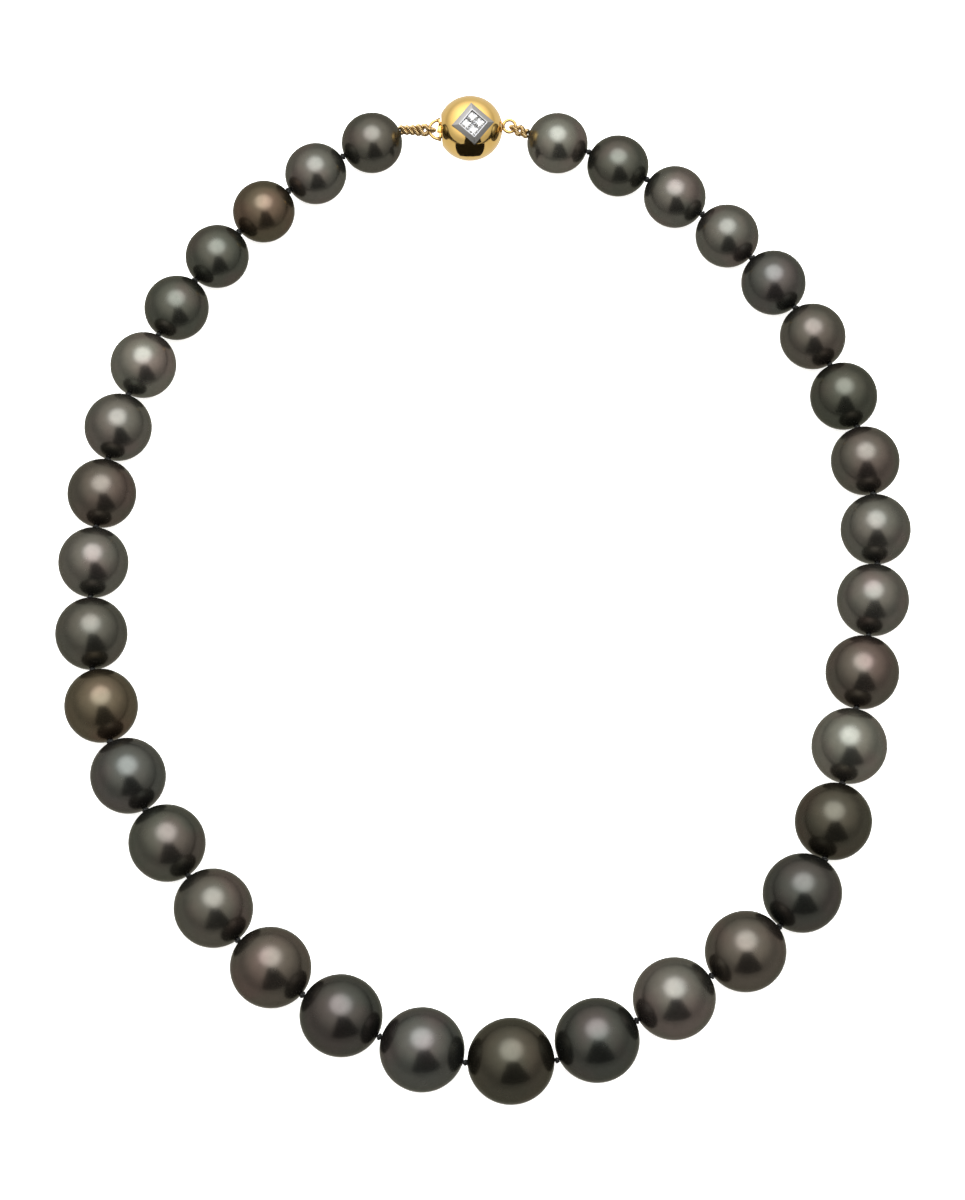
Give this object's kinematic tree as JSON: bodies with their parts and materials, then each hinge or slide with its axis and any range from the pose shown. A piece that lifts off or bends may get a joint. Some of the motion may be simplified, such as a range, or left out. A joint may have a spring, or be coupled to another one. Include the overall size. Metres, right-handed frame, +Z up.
{
  "type": "pearl necklace",
  "caption": "Graduated strand of dark round pearls, knotted on silk, closed by a gold ball clasp with a square setting of clear stones.",
  "frame": {"origin": "middle of the strand's outline, on the surface it lies on", "axes": "+Z up off that surface, +Y from the largest pearl towards the clasp, +X to the right of that"},
  "size_m": [0.14, 0.1754, 0.014],
  "materials": {
    "pearl_pewter": "polished",
    "pearl_bronze": "polished",
    "pearl_olive": "polished",
    "pearl_silver": "polished",
    "silk": "matte",
    "gimp_gold": "satin",
    "yellow_gold": "polished",
    "white_gold": "polished",
    "diamond": "polished"
  },
  "bodies": {
    "strand_centre": {"pearl_18": "pearl_bronze", "silk_thread": "silk"},
    "bead_17": {"pearl_17": "pearl_olive"},
    "bead_16": {"pearl_16": "pearl_pewter"},
    "bead_15": {"pearl_15": "pearl_bronze"},
    "bead_14": {"pearl_14": "pearl_pewter"},
    "bead_13": {"pearl_13": "pearl_olive"},
    "bead_12": {"pearl_12": "pearl_silver"},
    "bead_11": {"pearl_11": "pearl_bronze"},
    "bead_10": {"pearl_10": "pearl_pewter"},
    "bead_09": {"pearl_09": "pearl_silver"},
    "bead_08": {"pearl_08": "pearl_bronze"},
    "bead_07": {"pearl_07": "pearl_olive"},
    "bead_06": {"pearl_06": "pearl_silver"},
    "bead_05": {"pearl_05": "pearl_olive"},
    "bead_04": {"pearl_04": "pearl_pewter"},
    "bead_03": {"pearl_03": "pearl_bronze"},
    "bead_02": {"pearl_02": "pearl_pewter"},
    "bead_01": {"pearl_01": "pearl_pewter"},
    "bead_19": {"pearl_19": "pearl_pewter"},
    "bead_20": {"pearl_20": "pearl_pewter"},
    "bead_21": {"pearl_21": "pearl_pewter"},
    "bead_22": {"pearl_22": "pearl_pewter"},
    "bead_23": {"pearl_23": "pearl_bronze"},
    "bead_24": {"pearl_24": "pearl_silver"},
    "bead_25": {"pearl_25": "pearl_bronze"},
    "bead_26": {"pearl_26": "pearl_pewter"},
    "bead_27": {"pearl_27": "pearl_pewter"},
    "bead_28": {"pearl_28": "pearl_olive"},
    "bead_29": {"pearl_29": "pearl_olive"},
    "bead_30": {"pearl_30": "pearl_pewter"},
    "bead_31": {"pearl_31": "pearl_silver"},
    "bead_32": {"pearl_32": "pearl_olive"},
    "bead_33": {"pearl_33": "pearl_silver"},
    "bead_34": {"pearl_34": "pearl_olive"},
    "bead_35": {"pearl_35": "pearl_silver"},
    "gimp_right": {"gimp_right": "gimp_gold"},
    "clasp_ball": {"ball_upper": "yellow_gold", "ball_lower": "yellow_gold", "ball_face": "yellow_gold", "ball_ring": "yellow_gold", "tongue_guide": "yellow_gold", "setting_bezel": "white_gold", "setting_seat": "white_gold", "diamond_1": "diamond", "diamond_2": "diamond", "diamond_3": "diamond", "diamond_4": "diamond"},
    "clasp_tongue": {"tongue_leaf": "yellow_gold", "tongue_flange": "yellow_gold", "tongue_bail": "yellow_gold"},
    "clasp_spring": {"spring_leaf": "yellow_gold"},
    "gimp_left": {"gimp_left": "gimp_gold"}
  },
  "joints": [
    {"name": "tongue_pull", "type": "slide", "parent": "clasp_ball", "child": "clasp_tongue", "axis": [-0.9986, -0.0523, 0], "range_m": [0, 0.008]},
    {"name": "spring_press", "type": "hinge", "parent": "clasp_tongue", "child": "clasp_spring", "pos_m": [0.00021, 0.08239, 0.00534], "axis": [0.0506, -0.9646, -0.2588], "range_deg": [0, 4], "stiffness_Nm_per_rad": 0.02, "springref_deg": -1.15},
    {"name": "ball_swing", "type": "hinge", "parent": "gimp_right", "child": "clasp_ball", "pos_m": [0.00519, 0.08218, 0.00533], "axis": [0.4035, 0.8853, 0.2312], "range_deg": [-50, 50]},
    {"name": "gimp_left_swing", "type": "hinge", "parent": "clasp_tongue", "child": "gimp_left", "pos_m": [-0.0091, 0.08187, 0.00545], "axis": [-0.0113, -0.966, -0.2583], "range_deg": [-50, 50]},
    {"name": "gimp_right_turn", "type": "hinge", "parent": "bead_35", "child": "gimp_right", "pos_m": [0.00743, 0.08122, 0.0051], "axis": [0, 0, -1], "range_deg": [0, 30]},
    {"name": "knot_17_18_turn", "type": "hinge", "parent": "strand_centre", "child": "bead_17", "pos_m": [-0.00305, -0.08094, 0.00692], "axis": [0, 0, 1], "range_deg": [0, 3.1], "deforming": ["silk_thread"]},
    {"name": "knot_16_17_lift", "type": "hinge", "parent": "bead_17", "child": "bead_16", "pos_m": [-0.01675, -0.07649, 0.00678], "axis": [0.4041, 0.9147, 0], "range_deg": [-30, 30]},
    {"name": "knot_15_16_turn", "type": "hinge", "parent": "bead_16", "child": "bead_15", "pos_m": [-0.029, -0.06951, 0.00665], "axis": [0, 0, 1], "range_deg": [0, 44]},
    {"name": "knot_14_15_lift", "type": "hinge", "parent": "bead_15", "child": "bead_14", "pos_m": [-0.03944, -0.06033, 0.00653], "axis": [-0.7333, -0.6799, 0], "range_deg": [-30, 30]},
    {"name": "knot_13_14_turn", "type": "hinge", "parent": "bead_14", "child": "bead_13", "pos_m": [-0.04762, -0.04947, 0.00637], "axis": [0, 0, 1], "range_deg": [0, 38]},
    {"name": "knot_12_13_lift", "type": "hinge", "parent": "bead_13", "child": "bead_12", "pos_m": [-0.05467, -0.03819, 0.00625], "axis": [0.8704, 0.4924, 0], "range_deg": [-33, 33]},
    {"name": "knot_11_12_turn", "type": "hinge", "parent": "bead_12", "child": "bead_11", "pos_m": [-0.06062, -0.02651, 0.00613], "axis": [0, 0, 1], "range_deg": [0, 46]},
    {"name": "knot_10_11_lift", "type": "hinge", "parent": "bead_11", "child": "bead_10", "pos_m": [-0.06382, -0.01412, 0.006], "axis": [-0.9897, -0.1435, 0], "range_deg": [-32, 32]},
    {"name": "knot_09_10_turn", "type": "hinge", "parent": "bead_10", "child": "bead_09", "pos_m": [-0.06426, -0.00153, 0.00588], "axis": [0, 0, 1], "range_deg": [0, 39]},
    {"name": "knot_08_09_lift", "type": "hinge", "parent": "bead_09", "child": "bead_08", "pos_m": [-0.06362, 0.01075, 0.00575], "axis": [0.9954, -0.0958, 0], "range_deg": [-34, 34]},
    {"name": "knot_07_08_turn", "type": "hinge", "parent": "bead_08", "child": "bead_07", "pos_m": [-0.06193, 0.02274, 0.00565], "axis": [0, 0, 1], "range_deg": [0, 43]},
    {"name": "knot_06_07_lift", "type": "hinge", "parent": "bead_07", "child": "bead_06", "pos_m": [-0.05868, 0.03418, 0.00555], "axis": [-0.941, 0.3385, 0], "range_deg": [-34, 34]},
    {"name": "knot_05_06_turn", "type": "hinge", "parent": "bead_06", "child": "bead_05", "pos_m": [-0.05398, 0.0449, 0.00545], "axis": [0, 0, 1], "range_deg": [0, 43]},
    {"name": "knot_04_05_lift", "type": "hinge", "parent": "bead_05", "child": "bead_04", "pos_m": [-0.04795, 0.05469, 0.00535], "axis": [0.8141, -0.5807, 0], "range_deg": [-35, 35]},
    {"name": "knot_03_04_turn", "type": "hinge", "parent": "bead_04", "child": "bead_03", "pos_m": [-0.04078, 0.06342, 0.00525], "axis": [0, 0, 1], "range_deg": [0, 44]},
    {"name": "knot_02_03_lift", "type": "hinge", "parent": "bead_03", "child": "bead_02", "pos_m": [-0.03262, 0.07095, 0.00517], "axis": [-0.6264, 0.7795, 0], "range_deg": [-36, 36]},
    {"name": "knot_01_02_turn", "type": "hinge", "parent": "bead_02", "child": "bead_01", "pos_m": [-0.0236, 0.07724, 0.00513], "axis": [0, 0, 1], "range_deg": [0, 45]},
    {"name": "knot_18_19_lift", "type": "hinge", "parent": "strand_centre", "child": "bead_19", "pos_m": [0.01164, -0.08042, 0.00692], "axis": [-0.2504, 0.9681, 0], "range_deg": [-20, 20]},
    {"name": "knot_19_20_turn", "type": "hinge", "parent": "bead_19", "child": "bead_20", "pos_m": [0.02447, -0.07389, 0.00678], "axis": [0, 0, -1], "range_deg": [0, 37]},
    {"name": "knot_20_21_lift", "type": "hinge", "parent": "bead_20", "child": "bead_21", "pos_m": [0.03643, -0.06641, 0.00665], "axis": [0.5664, -0.8241, 0], "range_deg": [-32, 32]},
    {"name": "knot_21_22_turn", "type": "hinge", "parent": "bead_21", "child": "bead_22", "pos_m": [0.04753, -0.05805, 0.00653], "axis": [0, 0, -1], "range_deg": [0, 52]},
    {"name": "knot_22_23_lift", "type": "hinge", "parent": "bead_22", "child": "bead_23", "pos_m": [0.05494, -0.04664, 0.00637], "axis": [-0.9205, 0.3907, 0], "range_deg": [-26, 26]},
    {"name": "knot_23_24_turn", "type": "hinge", "parent": "bead_23", "child": "bead_24", "pos_m": [0.05793, -0.03368, 0.00625], "axis": [0, 0, -1], "range_deg": [0, 35]},
    {"name": "knot_24_25_lift", "type": "hinge", "parent": "bead_24", "child": "bead_25", "pos_m": [0.0605, -0.02084, 0.00613], "axis": [0.9833, -0.1822, 0], "range_deg": [-33, 33]},
    {"name": "knot_25_26_turn", "type": "hinge", "parent": "bead_25", "child": "bead_26", "pos_m": [0.06265, -0.00822, 0.006], "axis": [0, 0, -1], "range_deg": [0, 35]},
    {"name": "knot_26_27_lift", "type": "hinge", "parent": "bead_26", "child": "bead_27", "pos_m": [0.0644, 0.00426, 0.00588], "axis": [-0.9986, 0.0523, 0], "range_deg": [-33, 33]},
    {"name": "knot_27_28_turn", "type": "hinge", "parent": "bead_27", "child": "bead_28", "pos_m": [0.06398, 0.01655, 0.00575], "axis": [0, 0, -1], "range_deg": [0, 45]},
    {"name": "knot_28_29_lift", "type": "hinge", "parent": "bead_28", "child": "bead_29", "pos_m": [0.06146, 0.02839, 0.00565], "axis": [0.9599, 0.2804, 0], "range_deg": [-34, 34]},
    {"name": "knot_29_30_turn", "type": "hinge", "parent": "bead_29", "child": "bead_30", "pos_m": [0.05728, 0.03953, 0.00555], "axis": [0, 0, -1], "range_deg": [0, 44]},
    {"name": "knot_30_31_lift", "type": "hinge", "parent": "bead_30", "child": "bead_31", "pos_m": [0.05158, 0.04975, 0.00545], "axis": [-0.8346, -0.5509, 0], "range_deg": [-35, 35]},
    {"name": "knot_31_32_turn", "type": "hinge", "parent": "bead_31", "child": "bead_32", "pos_m": [0.04455, 0.05884, 0.00535], "axis": [0, 0, -1], "range_deg": [0, 44]},
    {"name": "knot_32_33_lift", "type": "hinge", "parent": "bead_32", "child": "bead_33", "pos_m": [0.03638, 0.06665, 0.00525], "axis": [0.6351, 0.7724, 0], "range_deg": [-35, 35]},
    {"name": "knot_33_34_turn", "type": "hinge", "parent": "bead_33", "child": "bead_34", "pos_m": [0.0273, 0.07304, 0.00517], "axis": [0, 0, -1], "range_deg": [0, 45]},
    {"name": "knot_34_35_lift", "type": "hinge", "parent": "bead_34", "child": "bead_35", "pos_m": [0.01746, 0.07796, 0.00513], "axis": [-0.3792, -0.9253, 0], "range_deg": [-36, 36]}
  ],
  "couplings": [
    {"joint": "knot_17_18_turn", "follows": "tongue_pull", "rad_per_m": 6.7}
  ]
}
